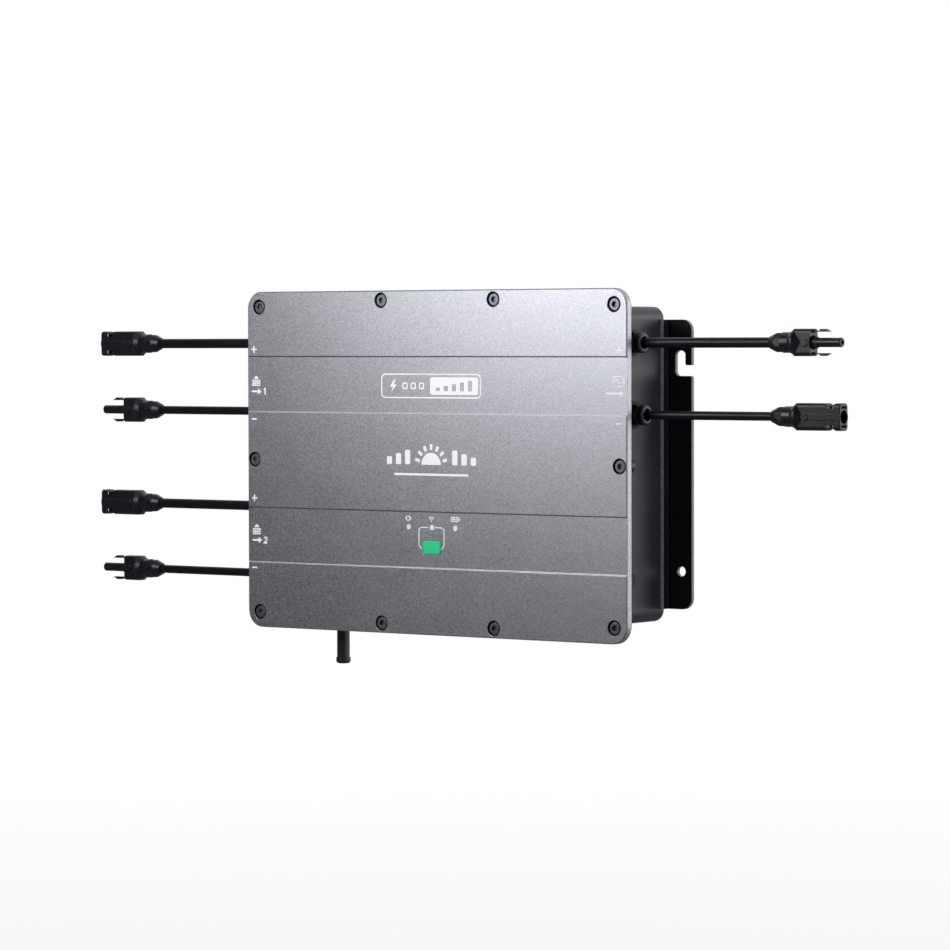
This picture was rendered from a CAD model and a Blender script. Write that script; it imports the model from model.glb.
"""Flat wall-mounted electronics enclosure with six cable leads and a green button.

The front faces -Y, +Z is up. Two input pairs of leads leave at -X (left as seen from
the front) and one output pair at +X (right). The scene is in metres; printed marks and
cable sizes are given in millimetres and scaled by MM.
"""
import math

import bmesh
import bpy
import numpy as np
from mathutils import Matrix, Vector


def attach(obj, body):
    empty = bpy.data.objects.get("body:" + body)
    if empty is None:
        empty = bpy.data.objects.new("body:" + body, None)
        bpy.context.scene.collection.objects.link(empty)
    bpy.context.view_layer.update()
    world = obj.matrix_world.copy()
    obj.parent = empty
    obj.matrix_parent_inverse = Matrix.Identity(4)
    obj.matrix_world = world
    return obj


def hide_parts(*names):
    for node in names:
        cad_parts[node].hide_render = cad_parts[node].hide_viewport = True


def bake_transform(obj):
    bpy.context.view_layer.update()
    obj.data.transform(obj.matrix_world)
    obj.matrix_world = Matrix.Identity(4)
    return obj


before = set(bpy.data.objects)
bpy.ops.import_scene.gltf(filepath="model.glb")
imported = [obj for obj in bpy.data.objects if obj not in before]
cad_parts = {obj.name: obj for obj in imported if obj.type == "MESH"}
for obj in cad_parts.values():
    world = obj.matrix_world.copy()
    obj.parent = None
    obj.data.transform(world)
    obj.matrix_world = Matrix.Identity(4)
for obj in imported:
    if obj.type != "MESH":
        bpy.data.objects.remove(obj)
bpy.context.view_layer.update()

SCENE = bpy.context.scene
MM = 0.001
FRONT_Y = -64.0          # mm, plane of the raised fields of the front
BAND_Y = -63.25          # mm, plane of the two recessed bands


# ------------------------------------------------------------------ shader graphs
NOISE_SPAN = (0.3, 0.7)  # the range most noise values fall in


class Graph:
    """Small helper for wiring the node tree of a material or a world."""

    def __init__(self, owner, output_kind):
        self.owner = owner
        owner.use_nodes = True
        self.tree = owner.node_tree
        self.tree.nodes.clear()
        self.out = self.add(output_kind)

    def add(self, kind, **props):
        node = self.tree.nodes.new(kind)
        for key, value in props.items():
            setattr(node, key, value)
        return node

    def feed(self, socket, value):
        """Link a socket, or set a number or an RGB colour."""
        if isinstance(value, bpy.types.NodeSocket):
            self.tree.links.new(value, socket)
        elif isinstance(value, tuple):
            socket.default_value = value + (1.0,)
        else:
            socket.default_value = value

    def coords(self, attribute=None):
        if attribute:
            return self.add("ShaderNodeAttribute", attribute_name=attribute).outputs["Vector"]
        return self.add("ShaderNodeTexCoord").outputs["Object"]

    def geometry(self, output):
        return self.add("ShaderNodeNewGeometry").outputs[output]

    def split(self, vector):
        node = self.add("ShaderNodeSeparateXYZ")
        self.feed(node.inputs[0], vector)
        return node.outputs

    def noise(self, vector, scale, detail=3.0, rough=0.55, distortion=0.0):
        node = self.add("ShaderNodeTexNoise")
        node.inputs["Scale"].default_value = scale
        node.inputs["Detail"].default_value = detail
        node.inputs["Roughness"].default_value = rough
        node.inputs["Distortion"].default_value = distortion
        self.feed(node.inputs["Vector"], vector)
        return node.outputs["Fac"]

    def remap(self, value, to, span=NOISE_SPAN, interpolation="LINEAR"):
        node = self.add("ShaderNodeMapRange", interpolation_type=interpolation)
        for i, limit in enumerate(span + to):
            node.inputs[i + 1].default_value = limit
        self.feed(node.inputs[0], value)
        return node.outputs[0]

    def math(self, operation, *values):
        node = self.add("ShaderNodeMath", operation=operation)
        for socket, value in zip(node.inputs, values):
            self.feed(socket, value)
        return node.outputs[0]

    def plus(self, first, second):
        return self.math("ADD", first, second)

    def product(self, first, *others):
        for other in others:
            first = self.math("MULTIPLY", first, other)
        return first

    def mix(self, factor, first, second, blend="MIX"):
        node = self.add("ShaderNodeMix", data_type="RGBA", blend_type=blend)
        for i, value in ((0, factor), (6, first), (7, second)):
            self.feed(node.inputs[i], value)
        return node.outputs[2]

    def mix_shader(self, factor, first, second):
        node = self.add("ShaderNodeMixShader")
        for socket, value in zip(node.inputs, (factor, first, second)):
            self.feed(socket, value)
        return node.outputs[0]


def flake_factor(g, vector):
    """Brightness of fine flakes, strongest towards the lower left."""
    cell_scale, strength, x_weight = 1500.0, 0.30, 0.73
    cells = g.add("ShaderNodeTexVoronoi", feature="F1")
    cells.inputs["Scale"].default_value = cell_scale
    g.feed(cells.inputs["Vector"], vector)
    pick = g.add("ShaderNodeSeparateColor")
    g.feed(pick.inputs[0], cells.outputs["Color"])
    x, _, z = g.split(vector)
    slant = g.plus(g.product(x, x_weight), z)
    amount = g.product(g.remap(slant, span=(-0.2, 0.2), to=(1.237, 0.233)), strength)
    swing = g.product(g.remap(pick.outputs[0], span=(0.0, 1.0), to=(-1.0, 1.0)), amount)
    return g.plus(swing, 1.0)


def streak_noise(g, vector, axis):
    """Noise drawn out along one axis."""
    along, across = 30, 2600
    stretch = g.add("ShaderNodeVectorMath", operation="MULTIPLY")
    g.feed(stretch.inputs[0], vector)
    stretch.inputs[1].default_value = [along if name == axis else across for name in "xyz"]
    return g.noise(stretch.outputs[0], scale=1.0, rough=0.6)


def edge_mask(g, bevel, mid, strength):
    """Where the bevelled normal leaves the true one, broken up by noise."""
    dot = g.add("ShaderNodeVectorMath", operation="DOT_PRODUCT")
    g.feed(dot.inputs[0], bevel)
    g.feed(dot.inputs[1], g.geometry("Normal"))
    bend = g.remap(dot.outputs["Value"], span=(0.995, 0.86), to=(0.0, 1.0))
    return g.product(bend, g.remap(mid, span=(0.35, 0.62), to=(0.35, 1.0)), strength)


def cut_edges(g, vector, mid, color, cut_color):
    """Pale cut edges of the bracket's sheet: its side wings and its foremost lip."""
    wing_x, lip_y, lip_color = 0.1635, -0.00845, (0.74, 0.79, 0.90)
    normal = g.split(g.geometry("True Normal"))
    place = g.split(vector)
    off_plane = g.math("LESS_THAN", g.math("ABSOLUTE", normal[1]), 0.5)
    wing = g.math("GREATER_THAN", g.math("ABSOLUTE", place[0]), wing_x)
    lip = g.math("LESS_THAN", place[1], lip_y)
    mask = g.math("MAXIMUM", g.product(off_plane, wing), lip)
    mask = g.product(mask, g.remap(mid, to=(0.75, 1.0)))
    return g.mix(mask, color, g.mix(lip, cut_color, lip_color))


def cover_recesses(g, vector, mid, color, rough, metal):
    """Band steps, bright facing up and dim facing down; black, non-metal recesses."""
    deep_y, half_x, half_z, corner_sum = -0.0630, 0.1683, 0.1218, 0.2795
    step_y, step_half_z, facing = -0.0631, 0.1215, 0.2
    x, y, z = g.split(vector)
    off_x = g.math("ABSOLUTE", x)
    off_z = g.math("ABSOLUTE", z)
    inside = g.product(g.math("LESS_THAN", off_x, half_x), g.math("LESS_THAN", off_z, half_z),
                       g.math("LESS_THAN", g.plus(off_x, off_z), corner_sum),
                       g.math("GREATER_THAN", y, deep_y))
    normal_z = g.split(g.geometry("True Normal"))[2]
    front = g.product(g.math("LESS_THAN", y, step_y), g.math("LESS_THAN", off_z, step_half_z))
    up_step = g.product(g.math("GREATER_THAN", normal_z, facing), front)
    down_step = g.product(g.math("LESS_THAN", normal_z, -facing), front)
    color = g.mix(g.product(up_step, g.remap(mid, to=(0.8, 1.0))), color, (0.66, 0.665, 0.69))
    rough = g.plus(rough, g.product(up_step, 0.18))
    color = g.mix(g.product(down_step, 0.35), color, (0.06, 0.062, 0.068))
    color = g.mix(inside, color, (0.010, 0.0105, 0.012))
    return color, rough, g.product(g.math("SUBTRACT", 1.0, inside), metal)


def dust_layer(g, mid, color, rough, amount):
    """Pale, rough dust on faces that look up."""
    normal_z = g.split(g.geometry("Normal"))[2]
    dust = g.product(g.remap(normal_z, span=(0.4, 1.0), to=(0.0, amount)),
                     g.remap(mid, span=(0.35, 0.7), to=(0.2, 1.0)))
    return g.mix(dust, color, (0.35, 0.34, 0.32)), g.plus(rough, g.product(dust, 0.5))


def surface(name, color, rough, metal=0.0, spec=0.5, grain=1600.0, speck=0.06, cloud=0.05,
            bump=0.06, bump_dist=0.00008, rough_var=0.06, edge=0.0, edge_color=None,
            edge_r=0.0005, edge_rough=None, coat=0.0, sheen=0.0, sub=0.0, streak=None,
            attribute=None, dust=0.0, tint=None, cut=None, flakes=False, recesses=False,
            glow=0.0):
    """Procedural surface: speckled colour, cloudy roughness, fine relief, rounded edges.

    grain is the fine noise scale; speck and cloud are fine and wide colour swings; edge is
    the wear on edges of radius edge_r; streak is (axis, strength); sub is subsurface.
    """
    g = Graph(bpy.data.materials.new(name), "ShaderNodeOutputMaterial")
    vector = g.coords(attribute)
    shader = g.add("ShaderNodeBsdfPrincipled")
    g.feed(g.out.inputs[0], shader.outputs[0])
    fine = g.noise(vector, scale=grain, detail=2.0, rough=0.6)
    wide = g.noise(vector, scale=38.0, detail=4.0, rough=0.6, distortion=0.3)
    mid = g.noise(vector, scale=260.0, rough=0.5)

    shade = g.product(g.remap(fine, to=(1.0 - speck, 1.0 + speck)),
                      g.remap(wide, to=(1.0 - cloud, 1.0 + cloud)))
    if flakes:
        shade = g.product(shade, flake_factor(g, vector))
    grey = g.add("ShaderNodeCombineColor")
    for i in range(3):
        g.feed(grey.inputs[i], shade)
    col = g.mix(1.0, color, grey.outputs[0], "MULTIPLY")
    if tint is not None:
        col = g.mix(g.remap(mid, span=(0.45, 0.75), to=(0.0, 0.5)), col, tint)
    roughness = g.plus(g.remap(wide, to=(rough - rough_var, rough + rough_var)),
                       g.remap(mid, to=(-rough_var * 0.5, rough_var * 0.5)))

    height = fine
    if streak is not None:
        axis, strength = streak
        lines = streak_noise(g, vector, axis)
        height = g.plus(g.product(lines, strength), fine)
        roughness = g.plus(roughness, g.remap(lines, to=(-0.05, 0.08)))
    bevel = g.add("ShaderNodeBevel", samples=4)
    bevel.inputs["Radius"].default_value = edge_r
    relief = g.add("ShaderNodeBump")
    relief.inputs["Strength"].default_value = bump
    relief.inputs["Distance"].default_value = bump_dist
    g.feed(relief.inputs["Height"], height)
    g.feed(relief.inputs["Normal"], bevel.outputs[0])
    g.feed(shader.inputs["Normal"], relief.outputs[0])

    if edge > 0:
        worn = edge_mask(g, bevel.outputs[0], mid, edge)
        col = g.mix(worn, col, edge_color)
        if edge_rough is not None:
            kept = g.product(roughness, g.math("SUBTRACT", 1.0, worn))
            roughness = g.plus(kept, g.product(worn, edge_rough))
    if cut is not None:
        col = cut_edges(g, vector, mid, col, cut)
    shader.inputs["Metallic"].default_value = metal
    if recesses:
        col, roughness, metal_mask = cover_recesses(g, vector, mid, col, roughness, metal)
        g.feed(shader.inputs["Metallic"], metal_mask)
    if dust > 0:
        col, roughness = dust_layer(g, mid, col, roughness, dust)

    g.feed(shader.inputs["Base Color"], col)
    g.feed(shader.inputs["Roughness"], roughness)
    if glow > 0:
        g.feed(shader.inputs["Emission Color"], col)
        shader.inputs["Emission Strength"].default_value = glow
    shader.inputs["Specular IOR Level"].default_value = spec
    shader.inputs["Coat Weight"].default_value = coat
    shader.inputs["Coat Roughness"].default_value = 0.2
    shader.inputs["Sheen Weight"].default_value = sheen
    shader.inputs["Sheen Roughness"].default_value = 0.5
    if sub > 0:
        shader.inputs["Subsurface Weight"].default_value = sub
        shader.inputs["Subsurface Radius"].default_value = (0.0008, 0.0012, 0.0008)
    return g.owner


# ------------------------------------------------------------------ materials
CABLE = dict(color=(0.0068, 0.0078, 0.0112), rough=0.33, spec=0.19, grain=2400.0, speck=0.2,
             bump=0.04, streak=("x", 0.12))

MATERIALS = {
    "cover": surface("cover_blasted", color=(0.42, 0.421, 0.450), rough=0.46, metal=1.0,
                     grain=1300.0, speck=0.20, cloud=0.012, bump=0.22, bump_dist=0.00010,
                     rough_var=0.015, edge=0.75, edge_color=(0.80, 0.80, 0.81),
                     edge_rough=0.32, flakes=True, recesses=True),
    "housing": surface("housing_powder", color=(0.0130, 0.0153, 0.0220), rough=0.42,
                       grain=1500.0, speck=0.25, cloud=0.10, bump=0.28, bump_dist=0.00012,
                       rough_var=0.05, edge=0.25, edge_color=(0.05, 0.052, 0.056),
                       edge_r=0.0008, dust=0.02),
    "bracket": surface("bracket_powder", color=(0.011, 0.012, 0.0145), rough=0.40, spec=0.35,
                       grain=1500.0, speck=0.25, cloud=0.10, bump=0.24, bump_dist=0.00010,
                       rough_var=0.05, edge=0.35, edge_color=(0.12, 0.125, 0.14),
                       edge_r=0.0004, cut=(0.21, 0.22, 0.25)),
    "screw": surface("screw_steel", color=(0.175, 0.183, 0.205), rough=0.40, metal=0.85,
                     grain=2600.0, speck=0.15, bump=0.05, edge=0.8,
                     edge_color=(0.34, 0.34, 0.35), edge_r=0.0003, streak=("y", 0.2)),
    "seal": surface("seal_rubber", color=(0.020, 0.020, 0.021), rough=0.72, grain=2200.0,
                    speck=0.2, bump=0.15, sheen=0.05),
    "washer": surface("washer_rubber", color=(0.008, 0.008, 0.009), rough=0.55, spec=0.3,
                      grain=2200.0, speck=0.2, bump=0.12, sheen=0.08),
    "gland": surface("gland_nylon", color=(0.0085, 0.0093, 0.0118), rough=0.33, spec=0.42,
                     grain=2300.0, speck=0.2, bump=0.10, edge=0.7,
                     edge_color=(0.15, 0.16, 0.185), edge_r=0.00055, coat=0.05),
    "board": surface("board_mask", color=(0.010, 0.085, 0.040), rough=0.32, grain=900.0,
                     speck=0.15, bump=0.1, coat=0.5, tint=(0.014, 0.12, 0.055)),
    "component": surface("component_epoxy", color=(0.018, 0.018, 0.019), rough=0.55,
                         grain=2600.0, speck=0.2, bump=0.15),
    "coil": surface("coil_copper", color=(0.48, 0.19, 0.07), rough=0.34, metal=0.9,
                    grain=2200.0, speck=0.1, bump=0.3, streak=("z", 0.8)),
    "can": surface("can_aluminium", color=(0.52, 0.53, 0.55), rough=0.30, metal=1.0,
                   grain=2400.0, speck=0.05, bump=0.05, streak=("y", 0.3)),
    "thermal": surface("thermal_pad", color=(0.32, 0.34, 0.37), rough=0.75, grain=1800.0,
                       speck=0.12, bump=0.2),
    "terminal": surface("terminal_moulded", color=(0.16, 0.18, 0.17), rough=0.5,
                        grain=2000.0, speck=0.1, bump=0.1),
    "antenna": surface("antenna_moulded", color=(0.0130, 0.0136, 0.0155), rough=0.40,
                       grain=2400.0, speck=0.2, bump=0.10, edge=0.3,
                       edge_color=(0.04, 0.04, 0.042), edge_r=0.0004),
    "brass": surface("socket_plate", color=(0.50, 0.36, 0.13), rough=0.30, metal=1.0,
                     grain=2400.0, bump=0.05, streak=("z", 0.2)),
    "button": surface("button_moulded", color=(0.043, 0.84, 0.365), rough=0.36,
                      grain=2400.0, speck=0.03, cloud=0.02, bump=0.04, edge=0.8,
                      edge_color=(0.016, 0.36, 0.17), edge_r=0.0007, sub=0.15, coat=0.15),
    "light": surface("light_diffuser", color=(0.82, 0.83, 0.85), rough=0.30, grain=2600.0,
                     speck=0.03, bump=0.03, sub=0.3, coat=0.3, glow=0.22),
    "cable": surface("cable_jacket", **CABLE),
    "cable_flex": surface("cable_jacket_flex", attribute="rest_co", **CABLE),
    "connector": surface("connector_moulded", color=(0.0100, 0.0113, 0.0150), rough=0.36,
                         spec=0.34, grain=2300.0, speck=0.22, bump=0.10, edge=0.65,
                         edge_color=(0.10, 0.108, 0.128)),
    "nut": surface("connector_nut", color=(0.0092, 0.0102, 0.0132), rough=0.32, spec=0.34,
                   grain=2300.0, speck=0.2, bump=0.12, edge=0.6,
                   edge_color=(0.085, 0.092, 0.11)),
    "contact": surface("contact_tin", color=(0.55, 0.54, 0.51), rough=0.25, metal=1.0,
                       grain=2600.0, bump=0.05, streak=("x", 0.2)),
    "ink": surface("ink_white", color=(0.86, 0.86, 0.87), rough=0.5, grain=1500.0,
                   speck=0.03, cloud=0.02, bump=0.04, edge_r=0.00001, glow=0.27),
}

# lead: side (-1 left, 1 right), z of its axis, distance of the jacket's end from x = 0 (mm)
LEADS = {
    "pv1_pos": (-1, 85.2, 280.5),
    "pv1_neg": (-1, 35.2, 282.9),
    "pv2_pos": (-1, -34.9, 280.9),
    "pv2_neg": (-1, -84.8, 283.1),
    "out_pos": (1, 85.2, 285.4),
    "out_neg": (1, 35.2, 285.2),
}

# material: the CAD pieces that wear it
PIECES = {
    "cover": ["front_cover"],
    "housing": ["rear_housing"],
    "bracket": ["mounting_bracket"],
    "screw": ["cover_screws", "bracket_screws", "board_screws", "indicator_board_screws"],
    "seal": ["cover_gasket", "button_seal", "gland_seals"],
    "washer": ["gland_washers"],
    "gland": ["gland_bodies", "gland_lock_nuts", "gland_dome_nuts", "vent_plug"],
    "board": ["main_board", "indicator_board"],
    "component": ["power_transistors", "tact_switch", "switch_plunger"],
    "coil": ["power_inductors"],
    "can": ["bulk_capacitors", "heat_spreader", "radio_module"],
    "thermal": ["thermal_pad"],
    "terminal": ["terminal_blocks", "ribbon_cable"],
    "antenna": ["antenna_mast", "antenna_cap"],
    "brass": ["antenna_socket", "antenna_socket_nut"],
    "button": ["button_cap"],
    "light": ["light_pipes", "indicator_leds"],
    "cable": ["inner_wires", "antenna_coax"] + [lead + "_cable" for lead in LEADS],
    "nut": [lead + "_cap_nut" for lead in LEADS],
    "connector": [lead + "_connector" for lead in LEADS],
    "contact": [lead + "_contact" for lead in LEADS],
}
MATERIAL_OF = {piece: key for key, pieces in PIECES.items() for piece in pieces}

for name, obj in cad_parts.items():
    material = MATERIALS[MATERIAL_OF[name]]
    if not obj.material_slots:
        obj.data.materials.append(material)
    for slot in obj.material_slots:
        slot.material = material


# ------------------------------------------------------------------ outlines of marks
# An outline is a closed list of (x, z) in mm; an outline inside another makes a hole.
INK_THICK = 0.00004      # m
INK_SINK = 0.000012      # m, how far the ink reaches behind its plane


def print_mark(name, outlines, plane_y):
    """Thin solid of the outlines, lying on the plane y = plane_y (mm) and facing -Y."""
    curve = bpy.data.curves.new(name, "CURVE")
    curve.dimensions = "2D"
    curve.fill_mode = "BOTH"
    curve.extrude = INK_THICK / 2
    for points in outlines:
        spline = curve.splines.new("POLY")
        spline.points.add(len(points) - 1)
        for point, (x, z) in zip(spline.points, points):
            point.co = (x * MM, z * MM, 0, 1)
        spline.use_cyclic_u = True
    flat = bpy.data.objects.new(name + "_tmp", curve)
    SCENE.collection.objects.link(flat)
    bpy.context.view_layer.update()
    depsgraph = bpy.context.evaluated_depsgraph_get()
    mesh = bpy.data.meshes.new_from_object(flat.evaluated_get(depsgraph))
    bpy.data.objects.remove(flat)
    bpy.data.curves.remove(curve)
    bm = bmesh.new()
    bm.from_mesh(mesh)
    bmesh.ops.remove_doubles(bm, verts=bm.verts, dist=1e-7)
    bmesh.ops.recalc_face_normals(bm, faces=bm.faces)
    bm.to_mesh(mesh)
    bm.free()
    # the curve's own y becomes z, and its z becomes -y
    y = plane_y * MM - INK_THICK / 2 + INK_SINK
    mesh.transform(Matrix(((1, 0, 0, 0), (0, 0, -1, y), (0, 1, 0, 0), (0, 0, 0, 1))))
    mesh.name = name
    mark = bpy.data.objects.new(name, mesh)
    SCENE.collection.objects.link(mark)
    mesh.materials.clear()
    mesh.materials.append(MATERIALS["ink"])
    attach(mark, "enclosure")


def arc(cx, cz, radius, start, end, steps=10):
    """Points of an arc; start and end in degrees."""
    angles = [math.radians(start + (end - start) * i / steps) for i in range(steps + 1)]
    return [(cx + radius * math.cos(a), cz + radius * math.sin(a)) for a in angles]


def box(x0, x1, z0, z1):
    return [(x0, z0), (x1, z0), (x1, z1), (x0, z1)]


def round_box(cx, cz, width, height, radius):
    points = []
    for sx, sz, start in ((1, 1, 0), (-1, 1, 90), (-1, -1, 180), (1, -1, 270)):
        points += arc(cx + sx * (width / 2 - radius), cz + sz * (height / 2 - radius),
                      radius, start, start + 90, steps=7)
    return points


def hollow_box(cx, cz, width, height, wall, radius, inner_radius):
    return [round_box(cx, cz, width, height, radius),
            round_box(cx, cz, width - 2 * wall, height - 2 * wall, inner_radius)]


def stroke(points, width):
    """Outline of an open polyline with mitred joints."""
    left, right = [], []
    last = len(points) - 1
    for i in range(last + 1):
        before = Vector(points[max(i - 1, 0)])
        here = Vector(points[i])
        after = Vector(points[min(i + 1, last)])
        dir_in = (here - before).normalized() if i > 0 else (after - here).normalized()
        dir_out = (after - here).normalized() if i < last else dir_in
        normal_in = Vector((-dir_in.y, dir_in.x))
        normal_out = Vector((-dir_out.y, dir_out.x))
        mitre = (normal_in + normal_out).normalized()
        reach = width / 2 / max(0.4, mitre.dot(normal_in))
        left.append((here.x + mitre.x * reach, here.y + mitre.y * reach))
        right.append((here.x - mitre.x * reach, here.y - mitre.y * reach))
    return left + right[::-1]


def arrow(tail, neck, tip, z, half_shaft, half_head):
    """Arrow along +X: shaft from tail to neck, head from neck to tip."""
    return [(tail, z + half_shaft), (neck, z + half_shaft), (neck, z + half_head), (tip, z),
            (neck, z - half_head), (neck, z - half_shaft), (tail, z - half_shaft)]


# ------------------------------------------------------------------ printed marks
def plus_sign(cx, cz, size=5.2, line=1.05):
    a, b = size / 2, line / 2
    return [(cx - b, cz - a), (cx + b, cz - a), (cx + b, cz - b), (cx + a, cz - b),
            (cx + a, cz + b), (cx + b, cz + b), (cx + b, cz + a), (cx - b, cz + a),
            (cx - b, cz + b), (cx - a, cz + b), (cx - a, cz - b), (cx - b, cz - b)]


def minus_sign(cx, cz, size=4.6, line=1.1):
    return box(cx - size / 2, cx + size / 2, cz - line / 2, cz + line / 2)


def panel_icon(x0, z0):
    """Panel of 4 by 3 cells under a half sun."""
    pitch_x, pitch_z = 1.95, 1.65
    outlines = []
    for i in range(4):
        for j in range(3):
            x, z = x0 + i * pitch_x, z0 + j * pitch_z
            outlines.append(box(x + 0.15, x + 1.75, z + 0.1, z + 1.4))
    return outlines + [arc(x0 + 3.95, z0 + 5.4, 2.05, 180, 0)]


def numeral(digit, x, z):
    """The digit 1 or 2, centred on x and standing on z."""
    height, half, line = 4.8, 1.35, 1.05
    if digit == 1:
        points = [(x - 1.1, z + height * 0.72), (x, z + height - 0.2), (x, z)]
    else:
        points = [(x - half, z + height * 0.74)]
        points += arc(x, z + height * 0.70, half * 0.96, 150, -20, steps=8)
        points += [(x - half, z + line / 2), (x + half, z + line / 2)]
    return stroke(points, line)


def input_mark(digit, icon_z, arrow_z):
    """A panel over an inward arrow and the input's number."""
    x = -165.4
    return panel_icon(x + 0.4, icon_z) + [
        arrow(x, x + 6.0, x + 9.2, arrow_z + 2.4, half_shaft=0.6, half_head=2.3),
        numeral(digit, x + 12.6, arrow_z)]


def output_mark():
    """A box with a wave over an outward arrow."""
    x, z = 161.0, 58.6
    wave = [(x - 3.4 + 6.8 * i / 16, z + 1.35 * math.sin(2 * math.pi * i / 16))
            for i in range(17)]
    return hollow_box(x, z, 10.2, 7.6, wall=0.65, radius=2.2, inner_radius=1.6) + [
        stroke(wave, 0.7),
        arrow(x - 10.5, x + 1.2, x + 4.3, 50.3, half_shaft=0.6, half_head=2.2)]


def badge():
    """Outlined badge: bolt and squares at the left, filled field with cut-out bars."""
    z = 54.7
    outlines = hollow_box(-0.75, z, 88.9, 17.6, wall=0.9, radius=3.6, inner_radius=2.8)
    outlines.append(round_box(19.9, z, 42.2, 12.4, 1.6))
    for i in range(5):
        x = 5.6 + i * 7.1
        outlines.append(box(x - 1.9, x + 1.9, 51.0, 51.0 + 2.6 + i * 1.25))
    outlines.append([(-33.6, 59.2), (-37.4, 53.9), (-34.6, 53.9), (-36.1, 50.2),
                     (-31.2, 55.8), (-34.0, 55.8), (-32.0, 59.2)])
    for i in range(3):
        outlines += hollow_box(-23.8 + i * 7.4, z, 4.8, 4.8, wall=0.95, radius=1.2,
                               inner_radius=0.6)
    return outlines


def centre_ornament():
    """Half sun with rays between falling bars, over a level rule."""
    base_z = -1.4
    ray_in, ray_out, ray_half = 10.6, 14.6, 1.15
    outlines = [arc(0.0, base_z, 8.6, 0, 180, steps=20)]
    for i in range(7):
        angle = math.radians(15 + 25 * i)
        c, s = math.cos(angle), math.sin(angle)
        outlines.append([(c * q - s * w, base_z + s * q + c * w)
                         for q, w in ((ray_in, ray_half), (ray_in, -ray_half),
                                      (ray_out, -ray_half), (ray_out, ray_half))])
    for side in (-1, 1):
        for i, height in enumerate((10.5, 8.0, 5.6)):
            outlines.append(round_box(side * (21.0 + i * 8.2), base_z + height / 2,
                                      4.6, height, 0.9))
    return outlines + [round_box(0.0, -8.4, 66.0, 1.6, 0.75)]


def light_marks():
    """Marks over the three lights: a node, radio arcs over a dot, and a battery cell."""
    z, z0, z1 = -39.9, -40.7, -39.1
    node_x, arcs_x, cell_x = -21.2, -0.4, 20.4
    wall = dict(wall=0.6, radius=0.8, inner_radius=0.4)
    outlines = hollow_box(node_x, z, 3.4, 3.4, **wall)
    for side in (-1, 1):
        x = node_x + side * 2.2
        outlines.append(box(x - 0.35, x + 0.35, z0, z1))
    for radius in (3.3, 2.0):
        outlines.append(stroke(arc(arcs_x, -41.9, radius, 45, 135), 0.62))
    outlines.append(arc(arcs_x, -41.6, 0.62, 0, 360, steps=14)[:-1])
    outlines += hollow_box(cell_x, z, 7.2, 3.6, **wall)
    outlines.append(box(24.2, 24.8, z0, z1))
    for i in range(3):
        outlines.append(box(18.2 + i * 1.65, 19.2 + i * 1.65, z0, z1))
    return outlines


def loop_line(side):
    """Line from beside the middle light, round a corner and down to the button."""
    centre_x = -0.4
    half = [(3.0, -46.1)] + arc(8.6, -48.7, 2.6, 90, 0, steps=6)
    half += [(11.2, -58.6), (9.4, -61.0), (8.75, -61.3)]
    return [stroke([(side * x + centre_x, z) for x, z in half], 0.75)]


POLARITY = [plus_sign(-162.6, 80.8), minus_sign(-162.6, 29.8), plus_sign(-162.6, -28.3),
            minus_sign(-162.6, -79.4), plus_sign(162.2, 80.4), minus_sign(161.8, 29.5)]
print_mark("mark_polarity", POLARITY, FRONT_Y)
print_mark("mark_input_1", input_mark(1, icon_z=53.8, arrow_z=47.6), BAND_Y)
print_mark("mark_input_2", input_mark(2, icon_z=-55.2, arrow_z=-61.6), BAND_Y)
print_mark("mark_output", output_mark(), BAND_Y)
print_mark("mark_badge", badge(), BAND_Y)
print_mark("mark_centre", centre_ornament(), FRONT_Y)
print_mark("mark_lights", light_marks(), BAND_Y)
print_mark("mark_loop_left", loop_line(-1), BAND_Y)
print_mark("mark_loop_right", loop_line(1), BAND_Y)

# ------------------------------------------------------------------ flexing cables
JACKET_START = 167.86            # mm from x = 0
FINE_END = 212                   # mm, rings are close together up to here
FINE_STEP, COARSE_STEP = 0.9, 4  # mm between rings
TIP_LENGTH, TIP_SCALE = 0.35, 0.9    # narrowed inner tip of the jacket
RING_POINTS = 48
POS_SIZE = (19.0, 3.55)          # mm, depth behind the front plane and jacket radius
NEG_SIZE = (22.3, 3.05)


def jacket_rings(end, radius):
    """(distance from x = 0, radius) of each ring, from the enclosure outwards."""
    stations = []
    s = JACKET_START
    while s < FINE_END:
        stations.append(s)
        s += FINE_STEP
    count = int((end - s) / COARSE_STEP) + 1
    stations += [s + (end - s) * i / count for i in range(count + 1)]
    tip = [(JACKET_START, radius * TIP_SCALE), (JACKET_START + TIP_LENGTH, radius)]
    return tip + [(station, radius) for station in stations[1:]]


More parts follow.
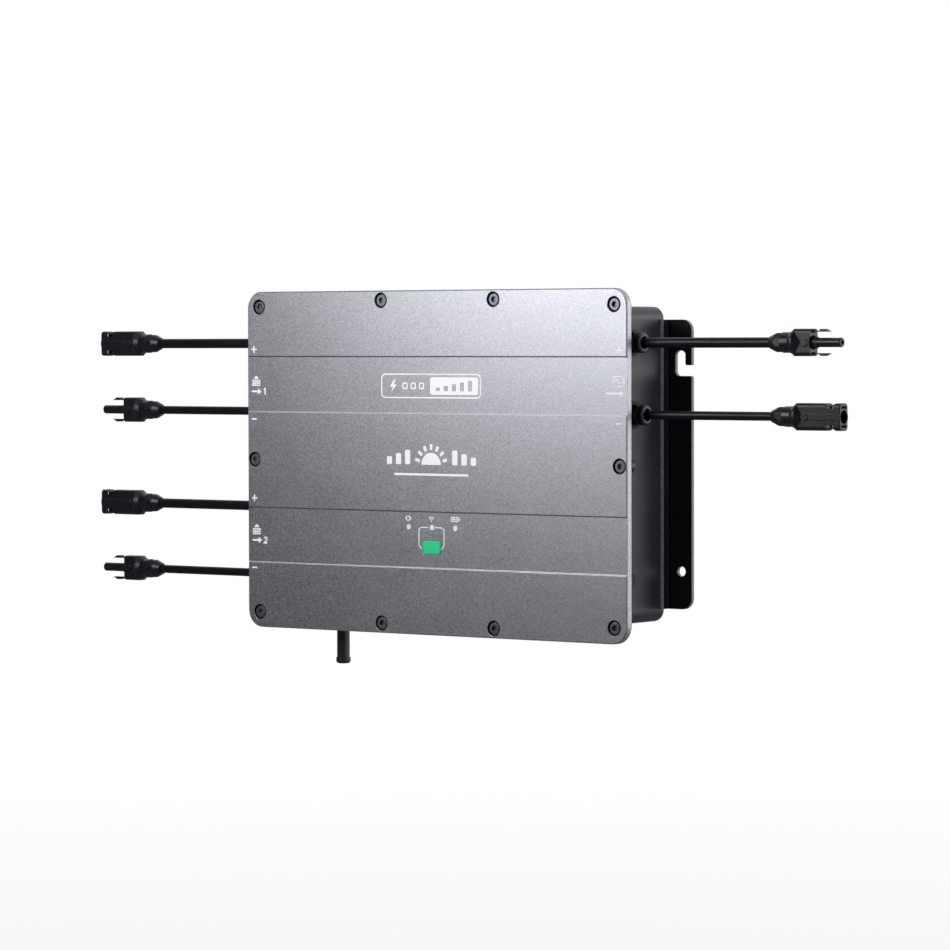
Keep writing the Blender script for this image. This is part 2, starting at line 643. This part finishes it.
def flex_cable(lead, side, z, end):
    depth, radius = POS_SIZE if lead.endswith("pos") else NEG_SIZE
    y = depth + FRONT_Y
    rings = jacket_rings(end, radius)
    n = RING_POINTS
    verts, faces = [], []
    for distance, ring_radius in rings:
        for i in range(n):
            angle = 2 * math.pi * i / n
            verts.append((side * distance * MM, (y + ring_radius * math.cos(angle)) * MM,
                          (z + ring_radius * math.sin(angle)) * MM))
    for j in range(len(rings) - 1):
        for i in range(n):
            a, b = j * n + i, j * n + (i + 1) % n
            faces.append((a, b, b + n, a + n))
    faces.append(tuple(range(n)))
    faces.append(tuple((len(rings) - 1) * n + i for i in range(n)))
    mesh = bpy.data.meshes.new(lead + "_jacket")
    mesh.from_pydata(verts, [], faces)
    bm = bmesh.new()
    bm.from_mesh(mesh)
    bmesh.ops.recalc_face_normals(bm, faces=bm.faces)
    for face in bm.faces:
        face.smooth = len(face.verts) == 4
    bm.to_mesh(mesh)
    bm.free()
    # the texture follows the straight shape when the cable bends
    rest = mesh.attributes.new("rest_co", "FLOAT_VECTOR", "POINT")
    places = np.array([vert.co[:] for vert in mesh.vertices], np.float32)
    rest.data.foreach_set("vector", places.ravel())
    jacket = bpy.data.objects.new(lead + "_jacket", mesh)
    SCENE.collection.objects.link(jacket)
    mesh.materials.append(MATERIALS["cable_flex"])
    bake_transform(jacket)
    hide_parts(lead + "_cable")


for lead, (side, z, end) in LEADS.items():
    flex_cable(lead, side, z, end)


# ------------------------------------------------------------------ stage
def floor_material():
    """Pale floor that fades to pure white with distance; other rays see mid grey."""
    g = Graph(bpy.data.materials.new("floor_pale"), "ShaderNodeOutputMaterial")
    vector = g.coords()
    shader = g.add("ShaderNodeBsdfPrincipled")
    shader.inputs["Roughness"].default_value = 0.7
    camera_ray = g.add("ShaderNodeLightPath").outputs["Is Camera Ray"]
    pale = g.mix(g.remap(g.noise(vector, scale=3.0, detail=4.0), to=(0.0, 1.0)),
                 (0.86, 0.86, 0.865), (0.89, 0.89, 0.89))
    g.feed(shader.inputs["Base Color"], g.mix(camera_ray, (0.30, 0.30, 0.30), pale))
    white = g.add("ShaderNodeEmission")
    g.feed(white.inputs["Color"], (1.0, 1.0, 1.0))
    white.inputs["Strength"].default_value = 1.0
    length = g.add("ShaderNodeVectorMath", operation="LENGTH")
    g.feed(length.inputs[0], vector)
    fade = g.remap(length.outputs["Value"], span=(0.9, 3.6), to=(0.80, 1.0))
    mixed = g.mix_shader(g.product(camera_ray, fade), shader.outputs[0], white.outputs[0])
    g.feed(g.out.inputs[0], mixed)
    return g.owner


def build_floor():
    half, z = 30, -0.62
    mesh = bpy.data.meshes.new("floor")
    corners = [(x, y, z) for x, y in box(-half, half, -half, half)]
    mesh.from_pydata(corners, [], [(0, 1, 2, 3)])
    floor = bpy.data.objects.new("floor", mesh)
    SCENE.collection.objects.link(floor)
    mesh.materials.append(floor_material())


def build_world():
    """White to the camera; as a light, bright behind the object and dim before it."""
    world = bpy.data.worlds.new("studio")
    SCENE.world = world
    g = Graph(world, "ShaderNodeOutputWorld")
    seen = g.add("ShaderNodeBackground")
    g.feed(seen.inputs[0], (1.0, 1.0, 1.0))
    seen.inputs[1].default_value = 1.0
    lighting = g.add("ShaderNodeBackground")
    y = g.split(g.add("ShaderNodeTexCoord").outputs["Generated"])[1]
    g.feed(lighting.inputs[0], (0.95, 0.975, 1.0))
    g.feed(lighting.inputs[1], g.remap(y, span=(-0.35, 0.55), to=(0.02, 0.95),
                                       interpolation="SMOOTHSTEP"))
    camera_ray = g.add("ShaderNodeLightPath").outputs["Is Camera Ray"]
    g.feed(g.out.inputs[0], g.mix_shader(camera_ray, lighting.outputs[0], seen.outputs[0]))


def area(name, location, aim, size, watts, color=(1, 1, 1)):
    light = bpy.data.lights.new(name, "AREA")
    light.shape = "RECTANGLE"
    light.size, light.size_y = size
    light.energy = watts
    light.color = color
    lamp = bpy.data.objects.new(name, light)
    SCENE.collection.objects.link(lamp)
    lamp.location = location
    lamp.rotation_mode = "QUATERNION"
    lamp.rotation_quaternion = (Vector(aim) - Vector(location)).to_track_quat("-Z", "Y")
    lamp.visible_camera = False


build_floor()
build_world()
area("key", location=(-0.16, -0.62, 0.30), aim=(0.20, -0.06, 0.14), size=(0.42, 0.38),
     watts=3.6, color=(0.972, 0.985, 1.0))
area("top", location=(0.25, -0.25, 1.30), aim=(0.0, -0.03, 0.0), size=(1.4, 0.9),
     watts=2.6, color=(0.95, 0.975, 1.0))
area("right", location=(2.0, -1.3, 0.5), aim=(0.15, -0.03, 0.0), size=(0.9, 1.2),
     watts=1.4, color=(0.93, 0.965, 1.0))
area("rim", location=(1.55, 2.1, 0.30), aim=(0.15, -0.03, 0.03), size=(1.9, 1.3),
     watts=13.0)
area("side", location=(2.6, 0.25, 0.15), aim=(0.15, -0.03, 0.0), size=(1.3, 1.3),
     watts=16.0, color=(0.93, 0.96, 1.0))

# ------------------------------------------------------------------ camera
EYE = (1.78134, -2.42753, 0.08697)
YAW, PITCH, ROLL = 0.6353, 0.03231, 0.0022   # radians: turned left, tipped down, rolled
SENSOR, LENS = 36.0, 157.65                  # mm

forward = Vector((-math.sin(YAW) * math.cos(PITCH), math.cos(YAW) * math.cos(PITCH),
                  -math.sin(PITCH)))
level = Vector((math.cos(YAW), math.sin(YAW), 0.0))
upright = level.cross(forward)
right = level * math.cos(ROLL) - upright * math.sin(ROLL)
up = upright * math.cos(ROLL) + level * math.sin(ROLL)
camera = bpy.data.objects.new("camera", bpy.data.cameras.new("camera"))
SCENE.collection.objects.link(camera)
camera.data.sensor_width = SENSOR
camera.data.lens = LENS
camera.data.clip_start, camera.data.clip_end = 0.05, 120.0
rows = [(right[i], up[i], -forward[i], EYE[i]) for i in range(3)]
camera.matrix_world = Matrix(rows + [(0, 0, 0, 1)])
SCENE.camera = camera
SCENE.view_settings.view_transform = "Standard"
SCENE.view_settings.look = "None"
